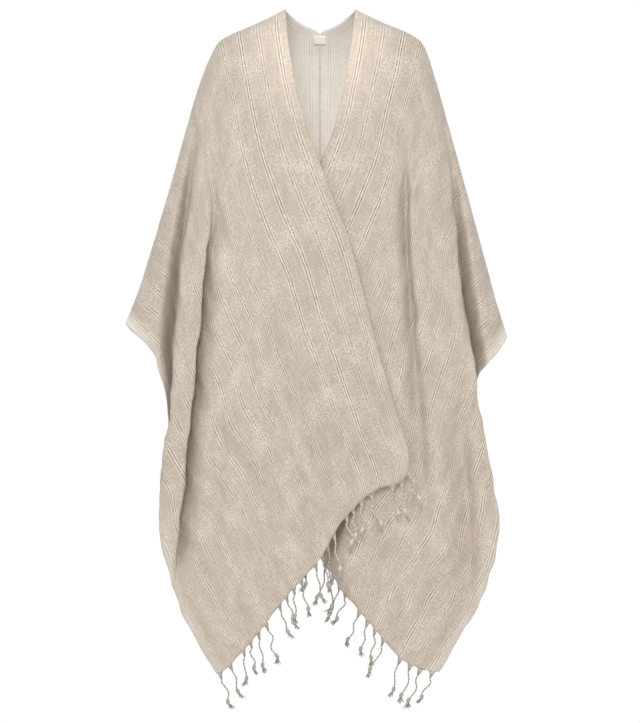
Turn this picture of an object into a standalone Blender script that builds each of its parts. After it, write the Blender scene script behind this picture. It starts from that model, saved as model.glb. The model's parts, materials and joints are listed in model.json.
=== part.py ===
"""Open-front poncho wrap of two loomed linen lengths with knotted fringes, in its worn shape.

Metres, +Z up, the front faces -Y. The origin lies level with the two points where the cloth
leaves the neck, midway between them. Each length of cloth runs from its front hem over the
shoulder and arm to its back hem. The two are sewn together down the centre of the back.
"""
import math

import bpy
import numpy as np

# Cloth and seams
PANEL_WIDTH = 0.70
CLOTH = 0.0020
SEAM_GAP = 0.0003
LAP_LIFT = 0.010
CM = 0.01

# Mesh of one length: cells across the width, and rows as shares of the fall from the ridge
CELLS_ACROSS = 26
ROW_SHARES = (0.0, 0.016, 0.036, 0.060, 0.088, 0.118, 0.150, 0.184, 0.222, 0.264, 0.310,
              0.362, 0.420, 0.484, 0.552, 0.624, 0.698, 0.774, 0.850, 0.925, 1.0)
RIDGE_ROUNDING = 0.060

# Fringe
STRIP_DEPTH = 0.006
STRIP_WALL = 0.0018
STRAND_WIDTH = 0.0046
CORD = 0.0034
KNOT = 0.0062
TUFT = 0.0044

# Label
LABEL_WIDTH = 0.024
LABEL_DEPTH = 0.017
LABEL_WALL = 0.0008
LABEL_GAP = 0.0003
NAPE_ROW = 0.184

# Lines of one length as they fall in front, in centimetres seen from the front.
# Columns: share of the width from the inner edge, then x and z on the ridge, at the collar,
# chest, waist, thigh and hem, which are these shares of the fall:
FRONT_SHARES = (0.0, 0.12, 0.25, 0.50, 0.75, 1.0)
FRONT_COLUMNS = ("across", "ridge_x", "ridge_z", "collar_x", "collar_z", "chest_x", "chest_z",
                 "waist_x", "waist_z", "thigh_x", "thigh_z", "hem_x", "hem_z")
RIGHT_FRONT = (
    (0.0, -6.5, 0.0, -5.3, -11.3, -2.6, -23.0, 5.2, -43.8, 10.7, -64.8, 16.3, -85.9),
    (0.1, -12.7, -3.0, -11.1, -14.3, -8.4, -26.1, 0.0, -46.9, 6.1, -68.2, 12.2, -89.4),
    (0.2, -19.2, -5.7, -16.6, -17.6, -12.9, -28.9, -6.0, -50.6, 0.7, -71.6, 7.4, -92.2),
    (0.3, -22.2, -12.4, -19.2, -23.6, -14.8, -34.0, -8.0, -55.0, -1.7, -75.9, 4.3, -96.2),
    (0.4, -24.3, -19.0, -21.6, -29.6, -16.6, -40.1, -9.4, -60.0, -3.7, -80.6, 1.5, -100.9),
    (0.6, -28.1, -32.5, -25.4, -42.1, -20.5, -52.0, -15.0, -71.1, -9.6, -90.2, -5.6, -109.4),
    (0.8, -32.1, -46.0, -27.2, -53.7, -22.8, -62.6, -18.5, -80.6, -14.6, -99.1, -12.2, -117.7),
    (1.0, -36.9, -59.5, -30.1, -66.1, -28.0, -73.6, -29.8, -91.7, -26.0, -109.3, -18.5, -125.3),
)
LEFT_FRONT = (
    (0.0, 6.6, 0.0, 5.2, -11.3, 2.8, -22.8, -5.4, -43.8, -10.7, -64.8, -15.7, -85.3),
    (0.1, 13.1, -3.0, 10.9, -14.1, 8.0, -25.6, 0.4, -46.4, -5.9, -67.8, -11.5, -89.1),
    (0.2, 19.4, -6.0, 16.8, -17.6, 13.1, -28.9, 6.4, -50.2, -0.2, -71.5, -7.0, -92.9),
    (0.3, 21.8, -12.9, 18.9, -24.0, 14.8, -34.4, 8.1, -55.4, 1.8, -76.3, -3.9, -97.6),
    (0.4, 23.8, -20.0, 21.4, -30.2, 16.9, -40.5, 9.8, -60.2, 4.3, -80.9, -0.7, -102.8),
    (0.6, 27.6, -33.8, 25.2, -43.2, 20.7, -52.5, 15.2, -71.5, 10.0, -90.9, 5.7, -111.5),
    (0.8, 31.4, -47.9, 27.2, -55.0, 23.0, -63.4, 18.6, -81.2, 15.4, -100.4, 12.8, -119.4),
    (1.0, 35.5, -62.1, 30.2, -69.4, 30.3, -77.6, 33.1, -94.2, 30.3, -111.3, 21.5, -125.1),
)

# The same lines behind, along the neck edge and down to the back hem, for either side.
BACK_SHARES = (0.07, 0.14, 0.32, 0.55, 0.78, 1.0)
BACK_COLUMNS = ("across", "neck_x", "neck_z", "nape_x", "nape_z", "blade_x", "blade_z",
                "waist_x", "waist_z", "thigh_x", "thigh_z", "hem_x", "hem_z")
BACK = (
    (0.0, 3.2, -2.0, 0.0, -3.7, 0.0, -16.2, 0.0, -32.4, 0.0, -49.0, 0.0, -65.0),
    (0.1, 11.2, -5.8, 9.2, -9.2, 7.0, -20.6, 5.6, -37.6, 4.4, -53.6, 3.4, -69.4),
    (0.2, 17.8, -10.0, 16.0, -14.6, 13.2, -26.2, 10.8, -43.0, 8.6, -58.8, 6.8, -74.0),
    (0.3, 20.9, -16.8, 19.6, -21.4, 17.0, -33.0, 14.2, -49.6, 11.8, -64.6, 9.8, -79.4),
    (0.4, 23.1, -23.8, 22.0, -28.4, 20.0, -40.0, 17.0, -56.0, 14.6, -70.6, 12.4, -85.0),
    (0.6, 27.1, -37.2, 26.2, -41.6, 24.2, -52.6, 21.2, -68.2, 18.6, -82.4, 16.6, -96.0),
    (0.8, 30.8, -50.8, 29.8, -54.8, 27.4, -65.0, 24.8, -79.6, 22.2, -93.2, 20.0, -106.0),
    (1.0, 34.4, -64.2, 32.6, -67.8, 29.4, -76.6, 27.8, -90.0, 25.6, -103.2, 22.4, -115.6),
)

# General figure under the cloth, in centimetres: height, and how far the cloth stands in
# front of and behind the line of the arms. Below the wrists the figure widens a little.
FIGURE_COLUMNS = ("height", "front", "back")
FIGURE = (
    (-140.0, 13.2, 15.0),
    (-120.0, 13.2, 14.6),
    (-90.0, 12.9, 13.6),
    (-62.0, 12.4, 12.4),
    (-40.0, 12.3, 12.2),
    (-25.0, 11.4, 12.4),
    (-15.0, 9.2, 11.0),
    (-8.0, 6.6, 9.0),
    (-3.7, 5.0, 6.8),
    (0.0, 3.6, 4.6),
)
PAST_WRIST = 0.11
PAST_WRIST_FALL = 0.35
FIGURE_SQUARENESS = 2.4

# Largest folds, in centimetres: x and z at the top, middle and foot of each one, how deep it
# goes in at its middle (a minus is a ridge that stands out) and its half width
FOLD_COLUMNS = ("top_x", "top_z", "middle_x", "middle_z", "foot_x", "foot_z", "depth", "half")
FRONT_FOLDS = (
    (-22.8, -18.0, -26.4, -44.0, -28.6, -73.0, 2.4, 2.2),
    (-19.0, -32.0, -21.6, -64.0, -25.2, -108.0, 2.6, 2.2),
    (-16.4, -48.0, -16.6, -62.0, -17.4, -82.0, -0.9, 2.8),
    (1.4, -66.0, 2.2, -82.0, 3.4, -100.0, 0.8, 2.2),
    (-11.0, -88.0, -9.6, -101.0, -8.6, -116.0, 1.2, 2.0),
    (21.9, -16.0, 25.5, -40.0, 29.0, -70.0, 2.2, 2.2),
    (14.6, -28.0, 16.0, -52.0, 19.0, -82.0, 1.2, 2.4),
    (22.6, -66.0, 24.8, -88.0, 26.2, -112.0, 1.6, 2.4),
    (10.4, -84.0, 12.0, -100.0, 14.2, -118.0, 1.1, 2.0),
)
BACK_FOLDS = (
    (-23.4, -20.0, -27.2, -46.0, -29.6, -74.0, 2.4, 2.2),
    (-19.6, -40.0, -20.8, -72.0, -20.0, -112.0, 2.7, 2.2),
    (-13.8, -30.0, -13.0, -62.0, -11.6, -98.0, 2.7, 1.6),
    (-7.0, -34.0, -6.4, -60.0, -5.0, -86.0, 2.2, 1.5),
    (-16.6, -56.0, -16.8, -78.0, -15.6, -106.0, -1.4, 1.6),
    (-24.4, -66.0, -24.0, -88.0, -22.6, -118.0, -1.2, 1.6),
    (6.2, -26.0, 5.6, -56.0, 4.6, -84.0, 2.4, 1.5),
    (12.4, -34.0, 11.8, -66.0, 10.6, -96.0, 2.2, 2.2),
    (18.4, -46.0, 18.6, -76.0, 17.2, -110.0, 2.6, 2.3),
    (22.6, -18.0, 26.6, -44.0, 29.4, -72.0, 2.4, 2.2),
    (15.4, -52.0, 15.2, -74.0, 13.8, -104.0, -1.4, 1.6),
    (23.0, -62.0, 23.6, -86.0, 21.8, -116.0, -1.3, 1.7),
)

# Fringes: node, side (-1 is the wearer's right), end (1 is the front), which of each five cells
# of the hem has no strand, how far a strand leans sideways and how long it is, in centimetres
FRINGE_COLUMNS = ("node", "side", "end", "skipped", "lean", "length")
FRINGES = (
    ("fringe_front_right", -1, 1, 3, 1.3, 6.4),
    ("fringe_front_left", 1, 1, 1, -1.9, 6.4),
    ("fringe_back_right", -1, -1, 2, 1.3, 6.0),
    ("fringe_back_left", 1, -1, 4, -1.5, 6.0),
)

# Linear colour and roughness of each material
MATERIALS = {
    "linen": ((0.56, 0.47, 0.37), 0.80),
    "cord": ((0.60, 0.51, 0.41), 0.85),
    "tape": ((0.78, 0.76, 0.72), 0.70),
}


def smooth(value, low, high):
    """0 below low, 1 above high, and a soft step between them."""
    share = np.clip((value - low) / (high - low), 0.0, 1.0)
    return share * share * (3.0 - 2.0 * share)


def monotone(knots, values, wanted):
    """Cubic through values at knots that never overshoots; values may be one column or many."""
    knots = np.asarray(knots, float)
    values = np.asarray(values, float)
    wanted = np.clip(wanted, knots[0], knots[-1])
    step = np.diff(knots).reshape((-1,) + (1,) * (values.ndim - 1))
    slope = np.diff(values, axis=0) / step
    same_way = slope[:-1] * slope[1:] > 0.0
    total = np.where(same_way, slope[:-1] + slope[1:], 1.0)
    inner = np.where(same_way, 2.0 * slope[:-1] * slope[1:] / total, 0.0)
    tangent = np.concatenate((slope[:1], inner, slope[-1:]), axis=0)
    place = np.clip(np.searchsorted(knots, wanted, side="right") - 1, 0, len(knots) - 2)
    width = (knots[place + 1] - knots[place]).reshape((-1,) + (1,) * (values.ndim - 1))
    share = (wanted - knots[place]).reshape(width.shape) / width
    return (values[place] * (1.0 + 2.0 * share) * (1.0 - share) ** 2
            + tangent[place] * width * share * (1.0 - share) ** 2
            + values[place + 1] * share ** 2 * (3.0 - 2.0 * share)
            + tangent[place + 1] * width * share ** 2 * (share - 1.0))


def front_table(side):
    """Rows of the front table of one side as numbers."""
    return np.array(RIGHT_FRONT if side < 0 else LEFT_FRONT)


def fall_share(distance):
    """Share of the fall seen from the front at a distance from the ridge along the cloth.

    It starts slowly, because the cloth first goes forward over the shoulder or arm.
    """
    round_off = math.sqrt(1.0 + RIDGE_ROUNDING ** 2) - RIDGE_ROUNDING
    return (np.sqrt(distance ** 2 + RIDGE_ROUNDING ** 2) - RIDGE_ROUNDING) / round_off


def fall_lines(side, end, across, distance):
    """x and z, in metres, of the lines at across at the given distances from the ridge."""
    front = front_table(side)
    if end > 0:
        shares = np.array(FRONT_SHARES)
        table = front[:, 1:].reshape(len(front), -1, 2)
    else:
        shares = np.array((0.0,) + BACK_SHARES)
        behind = np.array(BACK)[:, 1:].reshape(len(BACK), -1, 2) * (side, 1.0)
        table = np.concatenate((front[:, None, 1:3], behind), axis=1)
    along = monotone(shares, table.transpose(1, 0, 2), fall_share(distance))
    lines = monotone(front[:, 0], along.transpose(1, 0, 2), across)
    return lines * CM


def ridge_reach(side, height):
    """How far from the middle the cloth turns over the shoulder or arm at a height."""
    across = np.linspace(0.0, 1.0, 81)
    table = front_table(side)
    ridge = monotone(table[:, 0], table[:, 1:3], across) * CM
    reach = np.interp(height, ridge[::-1, 1], np.abs(ridge[::-1, 0]))
    return reach + PAST_WRIST * smooth(ridge[-1, 1] - height, 0.0, PAST_WRIST_FALL)


def fold_depth(rows, x, z):
    """Sum of the folds at x, z: each fades at its top and foot and is soft at its sides."""
    total = np.zeros_like(x)
    for top_x, top_z, middle_x, middle_z, foot_x, foot_z, depth, half in rows:
        centre = np.interp(z, np.array((foot_z, middle_z, top_z)) * CM,
                           np.array((foot_x, middle_x, top_x)) * CM)
        fade = (smooth(-z, -top_z * CM, -middle_z * CM)
                * (1.0 - 0.75 * smooth(-z, -middle_z * CM, -foot_z * CM))
                * (1.0 - smooth(-z, -foot_z * CM, (8.0 - foot_z) * CM)))
        total += depth * CM * fade * np.exp(-((x - centre) / (half * CM)) ** 2)
    return total


def cloth_depth(side, end, x, z):
    """y of the cloth at x, z: a squarish round figure, less the folds, plus the lap in front."""
    rows = np.array(FIGURE) * CM
    stand = np.interp(z, rows[:, 0], rows[:, 1 if end > 0 else 2])
    share = np.clip(np.abs(x) / ridge_reach(side, z), 0.0, 1.0)
    rounding = np.sqrt(1.0 - share ** FIGURE_SQUARENESS)
    folds = fold_depth(FRONT_FOLDS if end > 0 else BACK_FOLDS, x, z) * (1.0 - share ** 8)
    lap = np.zeros_like(x)
    if side < 0 and end > 0:
        lap = LAP_LIFT * smooth(-z, 0.08, 0.22) * smooth(x, -0.30, -0.17)
    return -end * (stand * rounding - folds) - lap


def cloth_points(side, across, along):
    """Points of one length on a grid: across from the inner edge, along from -1 (back hem)
    over 0 (ridge) to 1 (front hem)."""
    grid = np.zeros((len(across), len(along), 3))
    for end in (-1, 1):
        chosen = along <= 0.0 if end < 0 else along > 0.0
        flat = fall_lines(side, end, across, np.abs(along[chosen]))
        x = flat[..., 0]
        z = flat[..., 1]
        if end < 0:
            x = side * np.maximum(np.abs(x), SEAM_GAP / 2.0)
        y = cloth_depth(side, end, x, z)
        grid[:, chosen] = np.stack((x, y, z), axis=-1)
    return grid


def grid_normals(side, points):
    """Unit normals of a grid of points, pointing out of the garment.

    Each is evened out with its neighbours across, so that the wall's edge twists little. Along
    the seam they have no sideways part, so that the two lengths stay apart.
    """
    over = np.gradient(points, axis=0)
    down = np.gradient(points, axis=1)
    normal = side * np.cross(down, over)
    normal /= np.linalg.norm(normal, axis=-1, keepdims=True)
    for _ in range(2):
        normal[1:-1] = (normal[:-2] + 2.0 * normal[1:-1] + normal[2:]) / 4.0
    at_seam = (np.abs(points[..., 0]) < 0.002) & (points[..., 1] > 0.0)
    normal[..., 0] = np.where(at_seam, 0.0, normal[..., 0])
    return normal / np.linalg.norm(normal, axis=-1, keepdims=True)


def add_mesh(name, points, faces, material):
    """One named object from points and faces, with its material."""
    mesh = bpy.data.meshes.new(name)
    mesh.from_pydata([tuple(point) for point in points], [], faces)
    mesh.materials.append(material)
    mesh.validate()
    mesh.update()
    part = bpy.data.objects.new(name, mesh)
    bpy.context.collection.objects.link(part)
    return part


def wall_from_grid(name, side, points, normals, wall, material):
    """Closed wall of even thickness about a grid of points."""
    rows, columns = points.shape[:2]
    outer = (points + normals * wall / 2.0).reshape(-1, 3)
    inner = (points - normals * wall / 2.0).reshape(-1, 3)
    count = rows * columns
    faces = []
    for row in range(rows - 1):
        for column in range(columns - 1):
            corner = row * columns + column
            quad = (corner, corner + 1, corner + 1 + columns, corner + columns)
            outside = quad if side > 0 else quad[::-1]
            faces.append(outside)
            faces.append(tuple(count + index for index in outside[::-1]))
    rim = [column for column in range(columns)]
    rim += [row * columns + columns - 1 for row in range(1, rows)]
    rim += [(rows - 1) * columns + column for column in range(columns - 2, -1, -1)]
    rim += [row * columns for row in range(rows - 2, 0, -1)]
    for start, stop in zip(rim, rim[1:] + rim[:1]):
        quad = (start, count + start, count + stop, stop)
        faces.append(quad if side > 0 else quad[::-1])
    return add_mesh(name, np.concatenate((outer, inner)), faces, material)


def row_places():
    """Places of the rows of one length, from -1 at the back hem to 1 at the front hem."""
    shares = np.array(ROW_SHARES)
    return np.concatenate((-shares[:0:-1], shares))


def panel_grid(side):
    """Points of one loomed length and the normals at them."""
    points = cloth_points(side, np.linspace(0.0, 1.0, CELLS_ACROSS + 1), row_places())
    return points, grid_normals(side, points)


def strand_axis(side, end, root, lean, length, number):
    """Centres of one strand, from its root down, laid on the run of the cloth beside it."""
    share = np.array((0.16, 0.42, 0.62, 0.74, 0.84, 1.0))
    sway = 0.0035 * np.sin(2.4 * number + 3.0 * share)
    x = root[0] + lean * share ** 1.3 + sway
    if end < 0:
        x = side * np.maximum(side * x, 0.0048)
    z = root[2] - length * share * (1.0 + 0.10 * math.sin(1.7 * number))
    shift = root[1] - cloth_depth(side, end, root[:1], root[2:])[0]
    y = cloth_depth(side, end, x, z) + shift
    return np.stack((x, y, z), axis=-1)


def build_fringe(name, side, end, skipped, lean, length, panel, material):
    """Narrow strip along one hem, with a strand drawn out of it below most cells of the hem."""
    hem = panel[0][:, -1 if end > 0 else 0]
    before = panel[0][:, -2 if end > 0 else 1]
    out_at_hem = panel[1][:, -1 if end > 0 else 0]
    fall = np.cross(np.gradient(hem, axis=0), out_at_hem)
    fall *= np.sign(np.sum(fall * (hem - before), axis=-1, keepdims=True))
    if end < 0:
        fall[0, 0] = 0.0
    fall /= np.linalg.norm(fall, axis=-1, keepdims=True)
    knots = np.linspace(0.0, 1.0, CELLS_ACROSS + 1)
    cells = [cell for cell in range(CELLS_ACROSS) if cell % 5 != skipped]
    places = (np.array(cells) + 0.5) / CELLS_ACROSS
    half = STRAND_WIDTH / PANEL_WIDTH / 2.0
    shares = np.sort(np.concatenate((knots, places - half, places + half)))
    rows = [np.stack([np.interp(shares, knots, column) for column in table.T], axis=-1)
            for table in (hem, fall, out_at_hem)]
    points = []
    faces = []
    for place, down, out in zip(*rows):
        for drop in (SEAM_GAP, STRIP_DEPTH):
            for way in (0.5, -0.5):
                points.append(place + down * drop + out * way * STRIP_WALL)
    last = (len(shares) - 1) * 4
    faces.append((0, 2, 3, 1))
    faces.append((last, last + 1, last + 3, last + 2))
    sizes = (CORD, CORD, CORD, KNOT, CORD, TUFT)
    number = 0
    for cell in range(len(shares) - 1):
        here = cell * 4
        there = here + 4
        faces.append((here, there, there + 2, here + 2))
        faces.append((here + 1, here + 3, there + 3, there + 1))
        faces.append((here, here + 1, there + 1, there))
        middle = (shares[cell] + shares[cell + 1]) / 2.0
        if np.min(np.abs(places - middle)) > half / 2.0:
            faces.append((here + 2, there + 2, there + 3, here + 3))
            continue
        ring = (here + 2, there + 2, there + 3, here + 3)
        root = np.mean([points[index] for index in ring], axis=0)
        across = points[there + 2] - points[here + 2]
        across[2] = 0.0
        across /= np.linalg.norm(across)
        depth = np.cross(across, (0.0, 0.0, 1.0))
        depth *= math.copysign(1.0, np.dot(depth, rows[2][cell]))
        number += 1
        centres = strand_axis(side, end, root, lean * CM, length * CM, number)
        for centre, size in zip(centres, sizes):
            start = len(points)
            for way_across, way_out in ((-0.5, 0.5), (0.5, 0.5), (0.5, -0.5), (-0.5, -0.5)):
                points.append(centre + across * way_across * size + depth * way_out * size)
            new = (start, start + 1, start + 2, start + 3)
            for corner in range(4):
                after = (corner + 1) % 4
                faces.append((ring[corner], ring[after], new[after], new[corner]))
            ring = new
        faces.append(ring)
    if side * end > 0:
        faces = [face[::-1] for face in faces]
    return add_mesh(name, points, faces, material)


def build_label(name, panels, material):
    """Blank neck label, laid over the seam on the inner face of the back, under the nape."""
    row = int(np.argmin(np.abs(row_places() + NAPE_ROW)))
    columns = []
    outward = []
    for share in (-1.0, -0.5, 0.0, 0.5, 1.0):
        points, normals = panels[-1 if share < 0.0 else 1]
        cell = points[:2, row - 1:row + 1]
        width = np.linalg.norm(cell[1, 1] - cell[0, 1])
        over = abs(share) * LABEL_WIDTH / 2.0 / width
        line = cell[0] + (cell[1] - cell[0]) * over
        line[:, 0] = share * LABEL_WIDTH / 2.0
        drop = LABEL_DEPTH / np.linalg.norm(line[1] - line[0])
        columns.append([line[1] + (line[0] - line[1]) * (0.08 + drop * step)
                        for step in (0.0, 0.5, 1.0)])
        out = normals[0, row - 1:row + 1].mean(axis=0)
        outward.append([out / np.linalg.norm(out)] * 3)
    grid = np.array(columns)
    out = np.array(outward)
    grid -= out * (CLOTH / 2.0 + LABEL_GAP + LABEL_WALL / 2.0)
    return wall_from_grid(name, -1, grid, out, LABEL_WALL, material)


def make_material(name, colour, roughness):
    """Plain Principled material."""
    material = bpy.data.materials.new(name)
    material.use_nodes = True
    shader = material.node_tree.nodes["Principled BSDF"]
    shader.inputs["Base Color"].default_value = (*colour, 1.0)
    shader.inputs["Roughness"].default_value = roughness
    return material


for old in list(bpy.data.objects):
    bpy.data.objects.remove(old, do_unlink=True)

materials = {}
for node, kind in (("panel_right", "linen"), ("panel_left", "linen"), ("neck_label", "tape"),
                   ("fringe_front_right", "cord"), ("fringe_front_left", "cord"),
                   ("fringe_back_right", "cord"), ("fringe_back_left", "cord")):
    colour, roughness = MATERIALS[kind]
    materials[node] = make_material(kind + "_" + node, colour, roughness)

panels = {-1: panel_grid(-1), 1: panel_grid(1)}
wall_from_grid("panel_right", -1, *panels[-1], CLOTH, materials["panel_right"])
wall_from_grid("panel_left", 1, *panels[1], CLOTH, materials["panel_left"])
for node, side, end, skipped, lean, length in FRINGES:
    build_fringe(node, side, end, skipped, lean, length, panels[side], materials[node])
build_label("neck_label", panels, materials["neck_label"])
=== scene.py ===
# %% [markdown]
# # An open-front poncho wrap in striped linen
# The wrap is two lengths of loomed linen, each 0.70 m wide and 1.65 m long. Each one runs from its
# front hem over the shoulder and arm to its back hem, and the two are sewn together down the
# centre of the back. The wearer's right front laps over the left, and the warp ends are twisted
# into knotted cords along the hems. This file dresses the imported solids: it works out each cloth
# surface from short tables of sizes, gives it creases, a wall and a weave, and adds the cords, the
# seam stitches and a blank label. Everything is in metres, with +Z up and the front facing -Y.

# %% Load the frame
import json

import bpy
import numpy as np
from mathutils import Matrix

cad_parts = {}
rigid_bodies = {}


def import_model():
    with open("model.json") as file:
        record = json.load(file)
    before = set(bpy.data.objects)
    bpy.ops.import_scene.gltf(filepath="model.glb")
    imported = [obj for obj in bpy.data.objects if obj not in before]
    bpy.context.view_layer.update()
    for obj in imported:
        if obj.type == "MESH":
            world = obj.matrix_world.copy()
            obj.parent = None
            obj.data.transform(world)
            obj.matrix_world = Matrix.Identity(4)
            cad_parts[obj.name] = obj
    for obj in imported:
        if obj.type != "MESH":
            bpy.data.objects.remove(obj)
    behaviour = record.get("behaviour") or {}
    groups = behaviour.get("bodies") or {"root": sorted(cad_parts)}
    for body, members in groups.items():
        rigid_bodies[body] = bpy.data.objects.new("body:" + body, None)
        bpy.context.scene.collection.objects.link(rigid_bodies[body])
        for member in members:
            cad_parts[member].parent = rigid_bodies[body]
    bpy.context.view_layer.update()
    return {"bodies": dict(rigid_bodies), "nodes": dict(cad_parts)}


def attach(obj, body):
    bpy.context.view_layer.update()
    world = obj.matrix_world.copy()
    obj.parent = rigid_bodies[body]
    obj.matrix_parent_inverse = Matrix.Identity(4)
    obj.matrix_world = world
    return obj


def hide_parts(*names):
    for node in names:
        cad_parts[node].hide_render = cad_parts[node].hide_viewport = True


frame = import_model()
print("solids:", sorted(frame["nodes"]))

# %% [markdown]
# ## Sizes taken from the photograph
# One picture point is 1.9 mm at the middle of the wrap. Each length of cloth is bounded by four
# lines at each end: the ridge of the shoulder and arm, the inner edge, the outer selvedge and the
# hem. A row gives how far out from the middle a line lies, and its height, in centimetres, which
# are easy to check with a ruler. The back isn't seen, so both sides share one set of lines there.

# %% Tables of the bounding lines
CM = 0.01
LOOM_WIDTH = 0.70
FRONT_LENGTH = 0.93
BACK_LENGTH = 0.72
SEAM_GAP = 0.0003

LINE_COLUMNS = ("out", "height")
RIDGE_RIGHT = (
    (6.5, 0), (12.7, -3), (16.5, -4.6), (19.2, -6.2), (20.8, -9), (22.2, -12.4), (24.3, -19),
    (26.2, -25.8), (28.1, -32.5), (30.1, -39.3), (32.1, -46), (34.3, -53), (36.9, -59.5))
RIDGE_LEFT = (
    (6.6, 0), (13.1, -3), (16.9, -4.6), (19.4, -6.4), (20.8, -9.6), (21.8, -12.9), (23.8, -20),
    (25.7, -26.9), (27.6, -33.8), (29.5, -40.9), (31.4, -47.9), (33.3, -55), (35.5, -62.1))
EDGE_RIGHT = (
    (6.5, 0), (6.3, -3.5), (5.3, -11.3), (2.6, -23), (-1.4, -34), (-5.2, -43.8), (-8, -54),
    (-10.7, -64.8), (-13.7, -75), (-16.3, -83.6), (-16.6, -86.6))
EDGE_LEFT = (
    (6.6, 0), (6.3, -3.5), (5.2, -11.3), (2.8, -22.8), (-1.6, -34), (-5.4, -43.8), (-8.1, -54),
    (-10.7, -64.8), (-13.2, -75), (-15.7, -85.3))
SELVEDGE_RIGHT = (
    (36.9, -59.5), (34.6, -61.6), (32.3, -63.6), (30.8, -66.5), (30.8, -70), (32, -75), (34, -81),
    (35.6, -88), (35.2, -95), (33, -101), (29.4, -107.5), (23.1, -118), (18.5, -125.3))
SELVEDGE_LEFT = (
    (35.5, -62.1), (34.2, -64), (32.3, -66.5), (31.2, -69), (31.6, -73), (33.6, -78), (36.2, -84),
    (38, -90), (38.2, -96), (36.4, -102), (32.6, -108.5), (26, -118), (21.5, -125.1))
HEM_RIGHT = (
    (-16.6, -86.6), (-15.9, -88.4), (-14.2, -89.6), (-12, -90.1), (-9.2, -91.4), (-4.3, -96.2),
    (0.5, -104), (5.6, -109.6), (10.8, -116.3), (18.5, -125.3))
HEM_LEFT = (
    (-15.7, -85.3), (-11, -89.6), (-5.6, -94.6), (0.2, -103.9), (5, -110.4), (9.8, -116),
    (14.8, -121.7), (21.5, -125.1))
BACK_NECK_AND_SEAM = (
    (3.2, -2), (0, -3.7), (0, -16.2), (0, -32.4), (0, -49), (0, -65))
BACK_SELVEDGE = (
    (32.8, -63.8), (30.4, -66.6), (28.4, -71), (27.4, -77), (27, -90), (25.2, -103.2),
    (22.4, -115.6))
BACK_HEM = (
    (0, -65), (3.4, -69.4), (6.8, -74), (9.8, -79.4), (12.4, -85), (16.6, -96), (20, -106),
    (22.4, -115.6))

# Side -1 is the wearer's right and 1 the wearer's left; end 1 is the front and -1 the back.
LINES = {
    (-1, 1): (RIDGE_RIGHT, EDGE_RIGHT, SELVEDGE_RIGHT, HEM_RIGHT),
    (1, 1): (RIDGE_LEFT, EDGE_LEFT, SELVEDGE_LEFT, HEM_LEFT),
    (-1, -1): (RIDGE_RIGHT, RIDGE_RIGHT[:1] + BACK_NECK_AND_SEAM,
               RIDGE_RIGHT[-1:] + BACK_SELVEDGE, BACK_HEM),
    (1, -1): (RIDGE_LEFT, RIDGE_LEFT[:1] + BACK_NECK_AND_SEAM,
              RIDGE_LEFT[-1:] + BACK_SELVEDGE, BACK_HEM),
}
print("lines about each end:", {key: len(lines) for key, lines in LINES.items()})

# %% [markdown]
# ## Smooth curves through the tables
# A cubic that passes through every table value could swing past it and make the cloth bulge. A
# monotone cubic never does: at each value its slope is the harmonic mean of the slopes on either
# side, and nothing at all where the two have opposite signs.

# %% Curve helpers
def smooth(value, low, high):
    """0 below low, 1 above high, and 3s^2 - 2s^3 of the share s in between."""
    share = np.clip((value - low) / (high - low), 0.0, 1.0)
    return share * share * (3.0 - 2.0 * share)


def monotone(knots, values, wanted):
    """Cubic through values at knots that never overshoots, with harmonic mean slopes."""
    knots = np.asarray(knots, float)
    values = np.asarray(values, float)
    wanted = np.clip(wanted, knots[0], knots[-1])
    step = np.diff(knots).reshape((-1,) + (1,) * (values.ndim - 1))
    slope = np.diff(values, axis=0) / step
    same_way = slope[:-1] * slope[1:] > 0.0
    total = np.where(same_way, slope[:-1] + slope[1:], 1.0)
    inner = np.where(same_way, 2.0 * slope[:-1] * slope[1:] / total, 0.0)
    tangent = np.concatenate((slope[:1], inner, slope[-1:]), axis=0)
    place = np.clip(np.searchsorted(knots, wanted, side="right") - 1, 0, len(knots) - 2)
    shape = place.shape + (1,) * (values.ndim - 1)
    width = (knots[place + 1] - knots[place]).reshape(shape)
    share = (wanted - knots[place]).reshape(shape) / width
    return (values[place] * (1.0 + 2.0 * share) * (1.0 - share) ** 2
            + tangent[place] * width * share * (1.0 - share) ** 2
            + values[place + 1] * share ** 2 * (3.0 - 2.0 * share)
            + tangent[place + 1] * width * share ** 2 * (share - 1.0))


def travelled(points):
    """Way gone from the first point to each, along the last axis but one: the sum of the steps."""
    steps = np.linalg.norm(np.diff(points, axis=-2), axis=-1)
    return np.concatenate((np.zeros((*steps.shape[:-1], 1)), np.cumsum(steps, axis=-1)), axis=-1)


def line_points(rows, count):
    """Evenly spaced points, (out, height) in metres, of the smooth line through the rows."""
    rows = np.array(rows, float) * CM
    travel = travelled(rows)
    return monotone(travel, rows, np.linspace(0.0, travel[-1], count))


def unit(vectors):
    """The same vectors, each divided by its length."""
    return vectors / np.linalg.norm(vectors, axis=-1, keepdims=True)


print("halfway along the right hem:", line_points(HEM_RIGHT, 3)[1].round(3))

# %% [markdown]
# ## How far the cloth stands out
# Under the cloth is a general figure: for each height, how far the cloth stands in front of the
# line of the arms and behind it. Sideways it rounds off like a squarish oval, so the cloth turns
# over the shoulder and arm without a crease. Below the wrists the two sheets hang free.

# %% The figure under the cloth
FIGURE_COLUMNS = ("height", "front", "back")
FIGURE = (
    (-140, 13.2, 15),
    (-120, 13.2, 14.6),
    (-90, 12.9, 13.6),
    (-62, 12.4, 12.4),
    (-40, 12.3, 12.2),
    (-25, 11.4, 12.4),
    (-15, 9.2, 11),
    (-8, 6.6, 9),
    (-3.7, 5, 6.8),
    (0, 3.6, 4.6),
)
SQUARENESS = 2.4
PAST_WRIST = 0.11
PAST_WRIST_FALL = 0.35


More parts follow.
